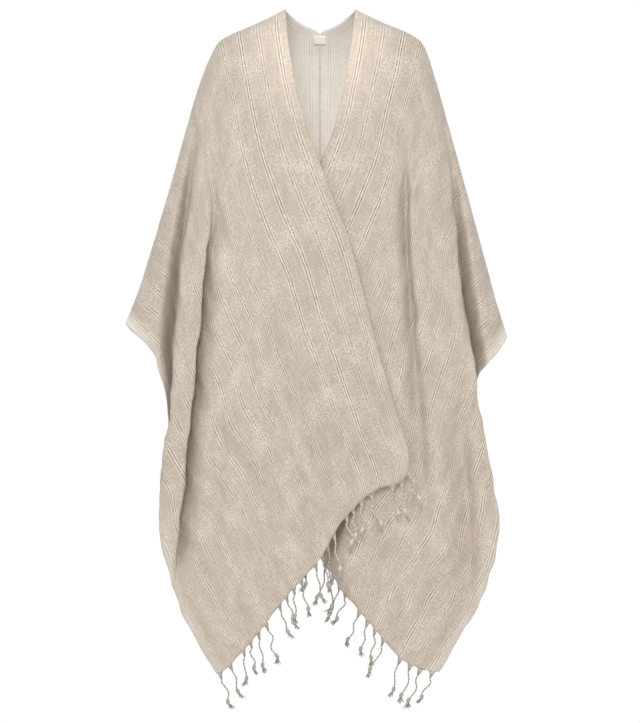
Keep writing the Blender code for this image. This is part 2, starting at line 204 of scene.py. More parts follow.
def ridge_reach(side, height):
    """How far from the middle the cloth turns over the shoulder or arm at a height."""
    rows = np.array(RIDGE_RIGHT if side < 0 else RIDGE_LEFT)[::-1] * CM
    return (monotone(rows[:, 1], rows[:, 0], height)
            + PAST_WRIST * smooth(rows[0, 1] - height, 0.0, PAST_WRIST_FALL))


print("reach at the elbow height:", ridge_reach(1, np.array((-0.35,))).round(3))

# %% [markdown]
# ## The great folds in front
# The cloth that falls from each arm is more than the space beside the body can hold, so it runs
# back into deep valleys. Each row gives, at one height, how far out a valley lies, its depth and
# the half width of its inner and outer flank, in centimetres. Most lean as they deepen, so that
# the cloth beside them hangs over and only a sharp crease shows, as in the photograph.

# %% Tables of valleys
VALLEY_COLUMNS = ("height", "out", "depth", "inner_half", "outer_half")
INNER_RIGHT = (
    (-116, 26.4, 0, 1.6, 1.2), (-108, 26, 0.8, 1.6, 1), (-100, 24.9, 3.4, 1.5, 0.8),
    (-90, 23.8, 4.6, 1.4, 0.8), (-75, 22.4, 4.8, 1.3, 0.7), (-60, 21.1, 4.4, 1.2, 0.6),
    (-50, 20.3, 3.4, 1.1, 0.6), (-45, 19.7, 2.4, 1.1, 0.7), (-40, 19, 1.4, 1.2, 0.9),
    (-30, 19, 0.7, 1.6, 1.2), (-18, 19.4, 0, 1.8, 1.3))
OUTER_RIGHT = (
    (-96, 33.6, 0, 1.2, 1.2), (-80, 31, 5.4, 1, 1.2), (-70.3, 29, 6.8, 0.9, 1.2),
    (-58.9, 27.9, 6.6, 0.8, 1.2), (-47.5, 26.8, 5.8, 0.8, 1.1), (-36.1, 25.1, 4.4, 0.8, 1),
    (-28, 24, 2.8, 0.8, 0.8), (-20, 23.2, 0, 0.8, 0.8))
UNDER_LEFT = (
    (-112, 4, 3.4, 2.2, 2), (-104, 1, 4.6, 2, 2), (-96, 2.4, 5, 2.2, 2.2),
    (-88, 4.4, 4.8, 2.4, 2.2), (-78, 2.6, 3.6, 2.4, 2.4), (-62, 1, 0, 2.6, 2.6))
MIDDLE_LEFT = (
    (-106, 19.4, 0, 2.4, 2), (-88, 18.4, 1.6, 2.2, 1.8), (-75, 17.6, 2.2, 1.7, 1.5),
    (-60, 16.6, 2.4, 1.2, 1.1), (-50, 15.9, 2.5, 1, 1), (-45, 15.6, 2.4, 1, 0.9),
    (-38, 15.5, 2.2, 1, 0.9), (-30, 15.5, 1.4, 1, 0.9), (-18, 15.4, 0, 1.2, 1))
LOWER_LEFT = (
    (-126, 26, 0.3, 3.5, 1.6), (-118, 27, 1, 3.4, 1.5), (-105, 27.6, 2.4, 3.2, 1.4),
    (-92, 27.2, 2.8, 3, 1.4), (-80, 26.2, 1.6, 2.6, 1.4), (-70, 25.4, 0, 2.6, 1.4))
OUTER_LEFT = (
    (-96, 37, 0, 1.2, 1.2), (-80, 33.8, 5.4, 1, 1.2), (-68, 30.2, 6.8, 0.8, 1.2),
    (-55, 27.7, 6.6, 0.7, 1.2), (-47.5, 26.9, 6, 0.7, 1.1), (-36.1, 25.8, 4.6, 0.7, 1),
    (-28, 24.8, 3, 0.7, 0.9), (-17, 22.7, 0, 0.8, 0.8))
# For each end, its valleys and how far each one leans out as it deepens.
VALLEYS = {
    (-1, 1): ((INNER_RIGHT, 0.45), (OUTER_RIGHT, -0.12)),
    (1, 1): ((UNDER_LEFT, 0.0), (MIDDLE_LEFT, 0.2), (LOWER_LEFT, 0.0), (OUTER_LEFT, -0.15)),
    (-1, -1): (),
    (1, -1): (),
}


def valley_depth(rows, out, z):
    """depth * exp(-(d / half)^2), with the inner half width inside the valley's line."""
    rows = np.array(rows) * CM
    centre, depth, inner, outer = np.moveaxis(monotone(rows[:, 0], rows[:, 1:], z), -1, 0)
    d = out - centre
    return depth * np.exp(-(d / np.where(d < 0.0, inner, outer)) ** 2)


print("deepest valley:", max(row[2] for rows, _ in VALLEYS[-1, 1] for row in rows), "cm")

# %% [markdown]
# ## Smaller folds and creases
# The rest are soft troughs and ridges, and the hidden back has gathers of the same kind. Each row
# gives a fold's line at its top, middle and foot, its depth and its half width, all in
# centimetres. A minus depth is a ridge. Across a fold the depth is a bell curve.

# %% Tables of folds
FOLD_COLUMNS = ("top_x", "top_z", "middle_x", "middle_z", "foot_x", "foot_z", "depth", "half")
FRONT_FOLDS = (
    (-17.6, -62, -18.8, -86, -18.6, -116, 0.9, 1.6),
    (1.4, -66, 2.2, -82, 3.4, -100, 0.8, 1.9),
    (-11, -88, -9.6, -101, -8.6, -116, 0.9, 1.9),
    (10.4, -84, 12, -100, 14.2, -118, 1.1, 2),
    (-13.6, -70, -14.2, -88, -13.8, -110, 0.4, 1.2),
    (-6.2, -56, -5, -74, -3.6, -92, 0.4, 1.4),
    (8, -52, 9.4, -68, 11.6, -82, -0.4, 1.5),
    (18.2, -90, 18.8, -104, 18.4, -118, -0.5, 1.3),
    (-17.4, -16, -18.8, -30, -19.6, -46, 0.35, 1.3),
    (16.6, -14, 17.8, -26, 18.8, -40, 0.35, 1.3),
)
BACK_FOLDS = (
    (-23.4, -20, -26.2, -46, -26.6, -74, 3.8, 1.8),
    (-19.6, -36, -20.8, -64, -20, -112, 4.4, 2.1),
    (-13.8, -30, -13, -62, -11.6, -98, 4, 1.9),
    (-7, -34, -6.4, -60, -5, -86, 3.4, 1.7),
    (-16.6, -56, -16.8, -78, -15.6, -106, -1.4, 1.5),
    (-24.4, -66, -24, -88, -22.6, -118, -1.2, 1.5),
    (6.2, -24, 5.6, -46, 4.6, -84, 5.4, 1.9),
    (12.4, -30, 11.8, -52, 10.6, -96, 5.6, 2.1),
    (18.4, -42, 18.6, -62, 17.2, -110, 5.8, 2.1),
    (22.6, -18, 25.6, -44, 26, -72, 4.2, 1.8),
    (15.4, -52, 15.2, -74, 13.8, -104, -1.4, 1.5),
    (23, -62, 23.6, -86, 21.8, -116, -1.3, 1.6),
    (-10.2, -18, -10.4, -34, -10, -56, 0.5, 1.6),
    (9.2, -16, 9.4, -30, 9, -48, 0.6, 1.7),
)
# Share of a fold's depth that is gone at its foot, and how far below the foot it fades out
FOOT_LOSS = 0.75
FOOT_FADE = 8


def fold_depth(rows, x, z):
    """Sum over the folds of depth * fade(z) * exp(-((x - line(z)) / half)^2)."""
    total = np.zeros_like(x)
    for top_x, top_z, middle_x, middle_z, foot_x, foot_z, depth, half in rows:
        centre = np.interp(z, np.array((foot_z, middle_z, top_z)) * CM,
                           np.array((foot_x, middle_x, top_x)) * CM)
        fade = (smooth(-z, -top_z * CM, -middle_z * CM)
                * (1.0 - FOOT_LOSS * smooth(-z, -middle_z * CM, -foot_z * CM))
                * (1.0 - smooth(-z, -foot_z * CM, (FOOT_FADE - foot_z) * CM)))
        total += depth * CM * fade * np.exp(-((x - centre) / (half * CM)) ** 2)
    return total


print("smaller folds in front and behind:", len(FRONT_FOLDS), len(BACK_FOLDS))

# %% [markdown]
# ## Level slices of the cloth
# At each height the cloth makes one level curve, from the middle out to the ridge. Its parameter
# is the turn w: 0 in the middle, 1 on the ridge, and a little more where cloth goes on round the
# arm. With the share s = w (2 - w) of the reach, the oval sqrt(1 - s^2.4) is smooth even on the
# ridge. Below the wrist the outer edge hangs in a fold, turned back behind a crest.

# %% Slices
CREST_COLUMNS = ("height", "out")
CREST_RIGHT = (
    (-125.3, 18.4), (-118, 23), (-108, 27.2), (-97, 29.8), (-90, 29.7), (-82, 28.8), (-72, 27.6),
    (-62, 27.4), (-50, 26.2))
CREST_LEFT = (
    (-125.1, 21.4), (-118, 25.9), (-108, 31), (-97, 33.2), (-90, 32.4), (-82, 30.9), (-72, 29.2),
    (-62, 28.4), (-50, 27))
CREST_ROUNDING = 0.004
# The fall, or the distance out for the last, over which a form comes in
TURN_BACK_FALL = (0.64, 0.78)
LAP_FALL = (0.08, 0.22)
LAP_OUT = (-0.30, -0.17)
LAP_LIFT = 0.013
# Folds run almost to the ridge: they keep 1 - s^10 of their depth
RIDGE_POWER = 10


def slice_points(side, end, turn, z):
    """Points at a turn and height: (side * out, -end * forward, z), less the valleys and folds."""
    figure = np.array(FIGURE) * CM
    stand = monotone(figure[:, 0], figure[:, 1 if end > 0 else 2], z)
    share = turn * (2.0 - turn)
    out = ridge_reach(side, z) * share
    forward = stand * np.sqrt(np.maximum(1.0 - np.abs(share) ** SQUARENESS, 0.0))
    forward = np.where(turn > 1.0, -forward, forward)
    dips = fold_depth(FRONT_FOLDS if end > 0 else BACK_FOLDS, side * out, z)
    leant = 0.0
    for rows, lean in VALLEYS[side, end]:
        dip = valley_depth(rows, out, z)
        dips = dips + dip
        leant = leant + lean * dip
    kept = 1.0 - np.abs(share) ** RIDGE_POWER
    forward = forward - dips * kept
    if end > 0:
        crest = np.array(CREST_RIGHT if side < 0 else CREST_LEFT) * CM
        past = np.maximum(out - monotone(crest[:, 0], crest[:, 1], z) + CREST_ROUNDING, 0.0)
        out = out - past ** 2 / (past + CREST_ROUNDING) * smooth(-z, *TURN_BACK_FALL)
        out = out + leant * kept
        if side < 0:
            forward = forward + LAP_LIFT * smooth(-z, *LAP_FALL) * smooth(-out, *LAP_OUT)
    return np.stack((side * out, -end * forward, z), axis=-1)


def turn_of(side, out, z):
    """The turn that lies at a distance out: w = 1 - sqrt(1 - s)."""
    return 1.0 - np.sqrt(1.0 - np.clip(out / ridge_reach(side, z), -1.1, 1.0))


def cloth_depth(side, end, x, z):
    """y of the cloth at a place seen from the front."""
    return slice_points(side, end, turn_of(side, side * x, z), z)[..., 1]


chest = cloth_depth(-1, 1, np.array((-0.1,)), np.array((-0.5,)))
print("the right front stands at y", chest.round(3))

# %% [markdown]
# ## Laying woven cloth on the slices
# Cloth hardly stretches, so its stripes must be evenly spaced along the slices, not across the
# picture. Two tables per end hold the way travelled along each slice at each turn, and the turn
# at each travel. In these terms the cloth is almost flat, and a patch between its four bounding
# lines gives every warp and weft thread a first place:
# (1-u) inner + u outer + (1-v) ridge + v hem, less the corners that this counts twice.

# %% Travel along the slices
TURNS = np.linspace(-0.45, 1.35, 901)
HEIGHTS = np.linspace(-1.30, 0.0, 436)
TRAVELS = np.linspace(-0.35, 1.00, 1101)


def travel_tables(side, end):
    """Travel at (height, turn), zero in the middle, and turn at (height, travel)."""
    turn, height = np.meshgrid(TURNS, HEIGHTS)
    travel = travelled(slice_points(side, end, turn, height))
    travel -= travel[:, np.searchsorted(TURNS, -1e-9), None]
    return travel, np.array([np.interp(TRAVELS, row, TURNS) for row in travel])


def look_up(table, columns, value, height):
    """A table read at any height and value, straight between its entries."""
    i = np.clip((height - HEIGHTS[0]) / (HEIGHTS[1] - HEIGHTS[0]), 0.0, len(HEIGHTS) - 1.001)
    j = np.clip((value - columns[0]) / (columns[1] - columns[0]), 0.0, len(columns) - 1.001)
    row, column = i.astype(int), j.astype(int)
    i, j = i - row, j - column
    near = table[row, column] * (1.0 - j) + table[row, column + 1] * j
    far = table[row + 1, column] * (1.0 - j) + table[row + 1, column + 1] * j
    return near * (1.0 - i) + far * i


def travel_share(points):
    """Share of the way along the second axis at each point of a grid."""
    travel = travelled(points)
    return travel / travel[:, -1:]


def read_rows(grid, shares, wanted):
    """Each row of a grid read at wanted shares, given the shares where its points lie."""
    return np.array([[np.interp(want, share, row[:, k]) for k in range(row.shape[-1])]
                     for row, share, want in zip(grid, shares, wanted)]).transpose(0, 2, 1)


def flip(grid):
    """The same grid with its two directions swapped."""
    return grid.swapaxes(0, 1)


print("entries of a travel table:", len(HEIGHTS), "x", len(TURNS))

# %% [markdown]
# Then the threads slide: the warp lines are moved to equal distances on every slice, and the weft
# lines to equal distances down every warp line. The moves are averaged with their neighbours many
# times over, because a real thread can't follow a sharp change on its own.

# %% Patches of cloth
FINE = 301
SLIDES = 2
# How many times the threads' moves are averaged, and how often the first places of the threads
# are on the hidden back, where this comes in over a share of the width
WARP_AVERAGES = 30
WEFT_AVERAGES = 700
BACK_AVERAGES = 900
BACK_REACH = 0.35
EVEN = np.broadcast_to(np.linspace(0.0, 1.0, FINE), (FINE, FINE))


def spread(values, times):
    """Each value averaged with its neighbours along the first axis, many times; the ends stay."""
    values = values.copy()
    for _ in range(times):
        values[1:-1] = 0.25 * values[:-2] + 0.5 * values[1:-1] + 0.25 * values[2:]
    return values


def cloth_patch(side, end):
    """Fine grid of points, across and then down, of one end of a length of cloth."""
    travel, turn_at = travel_tables(side, end)

    def points_of(flat):
        turn = look_up(turn_at, TRAVELS, flat[..., 0], flat[..., 1])
        return slice_points(side, end, turn, flat[..., 1])

    bounds = []
    for rows in LINES[side, end]:
        out, z = line_points(rows, 2 * FINE).T
        turn = np.ones_like(out) if rows in (RIDGE_RIGHT, RIDGE_LEFT) else turn_of(side, out, z)
        flat = np.stack((look_up(travel, TURNS, turn, z), z), axis=-1)
        shares = travel_share(slice_points(side, end, turn, z)[None])
        bounds.append(read_rows(flat[None], shares, EVEN[:1])[0])
    ridge, inner, outer, hem = bounds
    u = EVEN[0][:, None, None]
    v = EVEN[0][None, :, None]
    flat = ((1.0 - u) * inner + u * outer + (1.0 - v) * ridge[:, None] + v * hem[:, None]
            - (1.0 - v) * ((1.0 - u) * ridge[0] + u * ridge[-1])
            - v * ((1.0 - u) * hem[0] + u * hem[-1]))
    if end < 0:
        softer = flip(spread(flip(flat), BACK_AVERAGES))
        flat = flat + (softer - flat) * smooth(u, 0.0, BACK_REACH)
    for _ in range(SLIDES):
        shares = spread(travel_share(points_of(flat)), WARP_AVERAGES)
        flat = read_rows(flat, shares, EVEN)
        shares = travel_share(flip(points_of(flat)))
        places = spread(read_rows(EVEN[..., None], shares, EVEN)[..., 0], WEFT_AVERAGES)
        flat = flip(read_rows(flip(flat), EVEN, places))
    return points_of(flat)


PATCHES = {key: cloth_patch(*key) for key in LINES}
for key, points in PATCHES.items():
    cells = np.cross(np.diff(points, axis=0)[:, :-1], np.diff(points, axis=1)[:-1])
    print("side, end", key, "area in m2:", np.linalg.norm(cells, axis=-1).sum().round(3))

# %% [markdown]
# ## The cloth surface
# A point of one length is read from these patches by two parameters: how far across it lies, and
# how far along from the back hem (-1) over the ridge (0) to the front hem (1). The corners of the
# front hems are rounded, by lifting the hem towards each end of its width, and each cord pulls
# the hem down to a point, so that it runs in scallops from one cord to the next.

# %% Points of the cloth
CORNER_LIFT = 0.016
CORNER_REACH = 0.016
CORNER_POWER = 30
SCALLOP_LIFT = 0.0042
SCALLOP_REACH = 0.008
SCALLOP_POWER = 40
NEAR_SEAM = 0.002
HEM_CELLS = 26
CELL_UNEVENNESS = 0.12
CELL_SEED = 40
# Which of each five cells of a hem has no cord, by side and end
EMPTY_CELLS = {(-1, 1): 3, (1, 1): 1, (-1, -1): 2, (1, -1): 4}


def cord_shares(side, end):
    """Places of the cords as shares of the width: 26 cells, each a little uneven, less one in five."""
    cells = np.arange(HEM_CELLS)
    cells = cells[cells % 5 != EMPTY_CELLS[side, end]]
    rng = np.random.default_rng(CELL_SEED + 2 * side + end)
    moves = rng.uniform(-CELL_UNEVENNESS, CELL_UNEVENNESS, len(cells))
    return (cells + 0.5 + moves) / HEM_CELLS


def cloth_points(side, across, along):
    """Grid of points of one length, across from the inner edge and along from -1 to 1."""
    grid = np.zeros((len(across), len(along), 3))
    for end in (-1, 1):
        chosen = along <= 0.0 if end < 0 else along > 0.0
        if not chosen.any():
            continue
        down = np.abs(along[chosen])[None, :]
        place = EVEN[0][:, None]
        corner = np.exp(-np.minimum(place, 1.0 - place) * LOOM_WIDTH / CORNER_REACH)
        gap = np.abs(place - cord_shares(side, end)).min(axis=1)[:, None] * LOOM_WIDTH
        scallop = SCALLOP_LIFT * (1.0 - np.exp(-gap / SCALLOP_REACH))
        down = (down - scallop * down ** SCALLOP_POWER
                - CORNER_LIFT * corner * down ** CORNER_POWER * (end > 0))
        part = read_rows(PATCHES[side, end], EVEN, down)
        wanted = np.broadcast_to(across, (down.shape[1], len(across)))
        part = flip(read_rows(flip(part), EVEN, wanted))
        if end < 0:
            part[..., 0] = side * np.maximum(np.abs(part[..., 0]), SEAM_GAP / 2.0)
        grid[:, chosen] = part
    return grid


def outward_normals(side, points):
    """Unit cross products of the grid's two directions, turned out of the garment."""
    normal = side * np.cross(np.gradient(points, axis=1), np.gradient(points, axis=0))
    at_seam = (np.abs(points[..., 0]) < NEAR_SEAM) & (points[..., 1] > 0.0)
    normal[..., 0] = np.where(at_seam, 0.0, normal[..., 0])
    return unit(normal)


nape = cloth_points(1, np.array((0.0, 0.1)), np.array((-0.1, -0.05)))[0, 0]
print("a point of the neck edge:", nape.round(4))

# %% [markdown]
# ## Small life in the cloth
# Loomed linen never hangs dead flat. Long soft ripples run along the warp, and the selvedges are a
# little fluted. Sums of sines with lengths that don't divide each other give ripples that never
# repeat.

# %% Ripples
RIPPLE_COLUMNS = ("height_mm", "across_m", "along_m", "phase")
RIPPLES = (
    (1.1, 0.113, 0.61, 0.4),
    (0.8, 0.071, 0.37, 2.1),
    (0.5, 0.043, 0.23, 4.4),
    (0.45, 0.190, 0.091, 1.3),
    (0.3, 0.031, 0.067, 5.2),
)
FLUTE_HEIGHT = 0.0012
FLUTE_REACH = 0.025


def metres_along(along):
    """Distance in metres from the ridge, below zero towards the back hem."""
    return np.where(along > 0.0, along * FRONT_LENGTH, along * BACK_LENGTH)


def ripple_height(side, across, along):
    """Sum of height * sin(2 pi (across / length + along / length) + phase), in metres."""
    width = across[:, None] * LOOM_WIDTH
    length = metres_along(along)[None, :]
    total = np.zeros((len(across), len(along)))
    for height, over, down, phase in RIPPLES:
        turn = 2.0 * np.pi * (width / over + length / down) + phase * (2.0 + side)
        total += height * 0.001 * np.sin(turn)
    return total


def selvedge_flute(across, along):
    """Fluting of the selvedges, high * exp(-distance / reach) * sin(61 s + 1.7 sin(17 s))."""
    from_edge = np.minimum(across, 1.0 - across)[:, None] * LOOM_WIDTH
    turn = along[None, :] * 61.0 + 1.7 * np.sin(along[None, :] * 17.0)
    return FLUTE_HEIGHT * np.exp(-from_edge / FLUTE_REACH) * np.sin(turn)


print("ripples add up to at most", sum(row[0] for row in RIPPLES), "mm")

# %% [markdown]
# ## From arrays to a mesh
# All meshes here are made of quads in regular order, so the vertex numbers of the faces can be
# worked out as whole arrays too. A UV map holds the real distances in metres across and along
# the cloth, which lets the materials place every stripe and thread by its true size.

# %% Mesh helper
def make_mesh(name, vertices, quads, uv=None, ply=None):
    """An object at the origin from vertex, quad and optional per-vertex uv and ply arrays."""
    mesh = bpy.data.meshes.new(name)
    vertices = np.ascontiguousarray(vertices, dtype=np.float32).reshape(-1, 3)
    quads = np.ascontiguousarray(quads, dtype=np.int32).reshape(-1, 4)
    mesh.vertices.add(len(vertices))
    mesh.vertices.foreach_set("co", vertices.ravel())
    mesh.loops.add(quads.size)
    mesh.loops.foreach_set("vertex_index", quads.ravel())
    mesh.polygons.add(len(quads))
    mesh.polygons.foreach_set("loop_start", np.arange(0, quads.size, 4, dtype=np.int32))
    mesh.polygons.foreach_set("use_smooth", np.ones(len(quads), dtype=bool))
    mesh.update(calc_edges=True)
    if uv is not None:
        layer = mesh.uv_layers.new(name="cloth_metres")
        corner_uv = np.asarray(uv, dtype=np.float32).reshape(-1, 2)[quads.ravel()]
        layer.data.foreach_set("uv", corner_uv.ravel())
    if ply is not None:
        attribute = mesh.attributes.new("ply", "FLOAT", "POINT")
        attribute.data.foreach_set("value", np.asarray(ply, dtype=np.float32).ravel())
    mesh.validate()
    piece = bpy.data.objects.new(name, mesh)
    bpy.context.collection.objects.link(piece)
    return piece


def grid_quads(rows, columns):
    """Quads of a rows x columns grid of vertices: each corner number plus its neighbours'."""
    corner = (np.arange(rows - 1)[:, None] * columns + np.arange(columns - 1)).ravel()
    return np.stack((corner, corner + 1, corner + 1 + columns, corner + columns), axis=-1)


print("a 3 x 3 grid has quads", grid_quads(3, 3).tolist())

# %% [markdown]
# ## The two lengths of cloth
# The middle of the cloth is made as an open grid and Solidify gives it its wall, so the rim at the
# selvedges and hems is closed. The grid is finer near the ridge, where the cloth turns most.

# %% Cloth pieces
CELLS_ACROSS = 150
CELLS_BACK = 120
CELLS_FRONT = 160
CLOTH_WALL = 0.0009
# Rows crowd towards the ridge, where ripples are weaker. Right at the seam there are none.
ROW_POWER = 1.25
RIDGE_CALM = 0.9
RIDGE_CALM_REACH = 0.09
SEAM_START = (0.10, 0.20)
SEAM_CALM_REACH = 0.06


def cloth_rows():
    """Places along the cloth, closer together near the ridge: s^1.25 of an even spacing."""
    back = -np.linspace(1.0, 0.0, CELLS_BACK + 1) ** ROW_POWER
    front = np.linspace(0.0, 1.0, CELLS_FRONT + 1)[1:] ** ROW_POWER
    return np.concatenate((back, front))


def make_cloth(name, side):
    """One length: table surface, moved along its normals by ripples and fluting, then Solidify."""
    across = np.linspace(0.0, 1.0, CELLS_ACROSS + 1)
    along = cloth_rows()
    points = cloth_points(side, across, along)
    normals = outward_normals(side, points)
    beside_seam = 1.0 - smooth(across, 0.0, SEAM_CALM_REACH)[:, None]
    off_seam = 1.0 - smooth(-along, *SEAM_START)[None, :] * beside_seam
    off_ridge = 1.0 - RIDGE_CALM * np.exp(-(along[None, :] / RIDGE_CALM_REACH) ** 2)
    move = (ripple_height(side, across, along) + selvedge_flute(across, along)) * off_seam * off_ridge
    points = points + normals * move[..., None]
    metres = (across[:, None] * LOOM_WIDTH, metres_along(along)[None, :])
    uv = np.stack(np.broadcast_arrays(*metres), axis=-1)
    quads = grid_quads(len(across), len(along))
    piece = make_mesh(name, points, quads if side > 0 else quads[:, ::-1], uv)
    wall = piece.modifiers.new("wall", "SOLIDIFY")
    wall.thickness = CLOTH_WALL
    wall.offset = 0.0
    wall.use_even_offset = False
    wall.material_offset = 1
    return piece


cloth_right = make_cloth("cloth_right", -1)
cloth_left = make_cloth("cloth_left", 1)
print("faces of one length before its wall:", len(cloth_left.data.polygons))

# %% [markdown]
# ## Tubes for threads
# Cords, plies, loose ends and stitches are all thin tubes about a path. A ring of points is laid
# about each point of the path, in the plane square to it. The ends are left open, since they lie
# in the cloth, in a tuft or among gathered threads.

# %% Tube helper
NEARLY_Y = (0.05, 1.0, 0.03)


def square_pair(paths):
    """Directions p, square to each path and nearly to +Y, and q, square to the path and p."""
    tangent = unit(np.gradient(paths, axis=1))
    p = unit(np.cross(tangent, np.array(NEARLY_Y)))
    return p, np.cross(tangent, p)


def tube_arrays(paths, radii, sides):
    """Vertices and quads of many tubes at once.

    paths is (tubes, rings, 3) and radii (tubes, rings). Each ring is path + radius * (cos a * p +
    sin a * q).
    """
    p, q = square_pair(paths)
    angle = np.arange(sides) * 2.0 * np.pi / sides
    ring = (np.cos(angle)[:, None] * p[:, :, None, :] + np.sin(angle)[:, None] * q[:, :, None, :])
    vertices = paths[:, :, None, :] + ring * radii[:, :, None, None]
    tubes, rings = radii.shape
    start = np.arange(tubes)[:, None, None] * rings * sides
    row = start + np.arange(rings - 1)[None, :, None] * sides
    here = np.arange(sides)[None, None, :]
    after = (here + 1) % sides
    quads = np.stack((row + here, row + sides + here, row + sides + after, row + after), axis=-1)
    return vertices.reshape(-1, 3), quads.reshape(-1, 4)


def join_arrays(parts):
    """One pair of vertex and quad arrays from many, each quad array shifted past the last."""
    offsets = np.cumsum([0] + [len(vertices) for vertices, _ in parts[:-1]])
    return (np.concatenate([vertices for vertices, _ in parts]),
            np.concatenate([quads + offset for (_, quads), offset in zip(parts, offsets)]))


print("a tube of 4 rings and 6 sides has", len(tube_arrays(np.cumsum(
    np.ones((1, 4, 3)), axis=1), np.ones((1, 4)), 6)[1]), "quads")

# %% [markdown]
# ## The fringe
# Below the hem the loose warp ends of about 12 mm of cloth run together into one cord of two
# plies, twisted round each other with a turn every 8 mm. Most of the way down sits a knot, with
# a small tuft of loose ends below it. Each cord has its own length, lean and slight wave.

# %% Cord lines
FRINGE_COLUMNS = ("node", "side", "end", "lean", "length")
FRINGES = (
    ("fringe_front_right", -1, 1, 1.3, 6.4),
    ("fringe_front_left", 1, 1, -1.9, 6.4),
    ("fringe_back_right", -1, -1, 1.3, 6.0),
    ("fringe_back_left", 1, -1, -1.5, 6.0),
)
CORD_RINGS = 40
PLY_RADIUS = 0.00085
PLY_PITCH = 0.008
PLY_REACH = 0.85
KNOT_PLACE = 0.78
KNOT_RADIUS = 0.0039
KNOT_HALF_LENGTH = 0.0056
TUFT_PLACE = 0.82
TUFT_ENDS = 11
TUFT_SPREAD = (0.0036, 0.0022, 0.0004)
TUFT_RADII = (0.0009, 0.0009, 0.0009, 0.0008, 0.0006, 0.0001)
ROOT_ENDS = 6
ROOT_HALF_WIDTH = 0.0062
ROOT_RADIUS = 0.00055
CLEAR_OF_SEAM = 0.0048
# The share of the width, from the lap, whose cords are painted paler, and by how much, as painted
# light for cords lit from the front over the cloth; then the tones of the two plies, the knot, the
# tuft and the warp ends
PAINTED_LIGHT_CORDS = 0.40
PAINTED_LIGHT_LIFT = 0.55
TONES = (0.0, 1.0, 0.45, 0.7, 0.6)
FRINGE_SEED = 20


def hem_line(side, end, shares):
    """Points of the hem at shares of the width, and the way the cloth falls there."""
    places = np.array((0.985, 1.0)) * end
    order = np.argsort(places)
    hem = cloth_points(side, shares, places[order])[:, np.argsort(order)]
    return hem[:, 1], unit(hem[:, 1] - hem[:, 0])


def cord_lines(side, end, lean, length, seed):
    """Centre lines, (cords, rings, 3): down with a lean, a bow and a wave, beside the cloth."""
    rng = np.random.default_rng(seed)
    shares = cord_shares(side, end)
    root, fall = hem_line(side, end, shares)
    root = root + fall * 0.003
    count = len(shares)
    drop = np.linspace(0.0, 1.0, CORD_RINGS)[None, :]
    own_length = length * CM * rng.uniform(0.82, 1.12, (count, 1))
    own_lean = (lean + rng.normal(0.0, 0.45, (count, 1))) * CM
    wave = rng.uniform(0.0014, 0.0042, (count, 1))
    phase = rng.uniform(0.0, 2.0 * np.pi, (count, 1))
    turns = rng.uniform(1.0, 1.9, (count, 1))
    sway = np.sin(2.0 * np.pi * turns * drop + phase) - np.sin(phase)
    x = root[:, :1] + own_lean * drop ** 1.3 + wave * sway * smooth(drop, 0.0, 0.3)
    z = root[:, 2:] - own_length * drop
    if end < 0:
        x = side * np.maximum(side * x, CLEAR_OF_SEAM)
    shift = root[:, 1:2] - cloth_depth(side, end, root[:, :1], root[:, 2:])
    y = cloth_depth(side, end, x, z) + shift
    return np.stack((x, y, z), axis=-1), shares


print("cords on one hem:", len(cord_shares(-1, 1)))

# %% Cord meshes
def ply_tubes(lines):
    """Two tubes about each line, half a turn apart: line + r * (cos t * p + sin t * q)."""
    travel = travelled(lines)
    p, q = square_pair(lines)
    radii = np.full(lines.shape[:2], PLY_RADIUS) * (0.8 + 0.2 * smooth(travel, 0.0, 0.01))
    parts = []
    for half_turn in (0.0, np.pi):
        turn = (2.0 * np.pi * travel / PLY_PITCH + half_turn)[..., None]
        path = lines + (np.cos(turn) * p + np.sin(turn) * q) * PLY_RADIUS * PLY_REACH
        parts.append(tube_arrays(path, radii, 6))
    return parts


def knot_tubes(lines):
    """A knot four fifths down each line: a bead 8 mm wide and 11 mm long, pinched in the middle."""
    place = int(CORD_RINGS * KNOT_PLACE)
    along = np.linspace(-1.0, 1.0, 9)
    direction = unit(lines[:, place + 2] - lines[:, place - 2])
    path = (lines[:, place, None, :]
            + direction[:, None, :] * along[None, :, None] * KNOT_HALF_LENGTH)
    pinch = 1.0 - 0.14 * np.exp(-(along / 0.22) ** 2)
    profile = np.sqrt(np.maximum(1.0 - along ** 2, 0.003)) * pinch
    radii = np.broadcast_to(profile * KNOT_RADIUS, (len(lines), 9)).copy()
    return tube_arrays(path, radii, 9)


def tuft_tubes(lines, seed):
    """Eleven loose ends below each knot, 10 to 16 mm long, that spread by about 4 mm sideways."""
    rng = np.random.default_rng(seed)
    count = len(lines) * TUFT_ENDS
    start = np.repeat(lines[:, int(CORD_RINGS * TUFT_PLACE)], TUFT_ENDS, axis=0)
    direction = unit(np.repeat(lines[:, -1] - lines[:, -6], TUFT_ENDS, axis=0))
    fan = rng.normal(0.0, 1.0, (count, 3)) * TUFT_SPREAD
    length = rng.uniform(0.010, 0.016, (count, 1))
    share = np.linspace(0.0, 1.0, 6)[None, :, None]
    path = start[:, None] + direction[:, None] * length[:, None] * share + fan[:, None] * share ** 1.2
    return tube_arrays(path, np.broadcast_to(np.array(TUFT_RADII), (count, 6)), 4)


def root_tubes(side, end, lines, shares):
    """Six warp threads per cord that leave the hem 2.5 mm apart and meet 10 to 14 mm lower."""
    apart = np.linspace(-1.0, 1.0, ROOT_ENDS) * ROOT_HALF_WIDTH / LOOM_WIDTH
    places = np.clip((shares[:, None] + apart[None, :]).ravel(), 0.001, 0.999)
    order = np.argsort(places)
    hem, fall = hem_line(side, end, places[order])
    top = np.empty_like(hem)
    top[order] = hem - fall * 0.001
    meet = np.repeat(lines[:, 6], ROOT_ENDS, axis=0)
    share = np.linspace(0.0, 1.0, 6)[None, :, None]
    bend = smooth(share, 0.0, 1.0) * 0.6 + share * 0.4
    path = top[:, None] * (1.0 - bend) + meet[:, None] * bend
    return tube_arrays(path, np.full((len(places), 6), ROOT_RADIUS), 4)


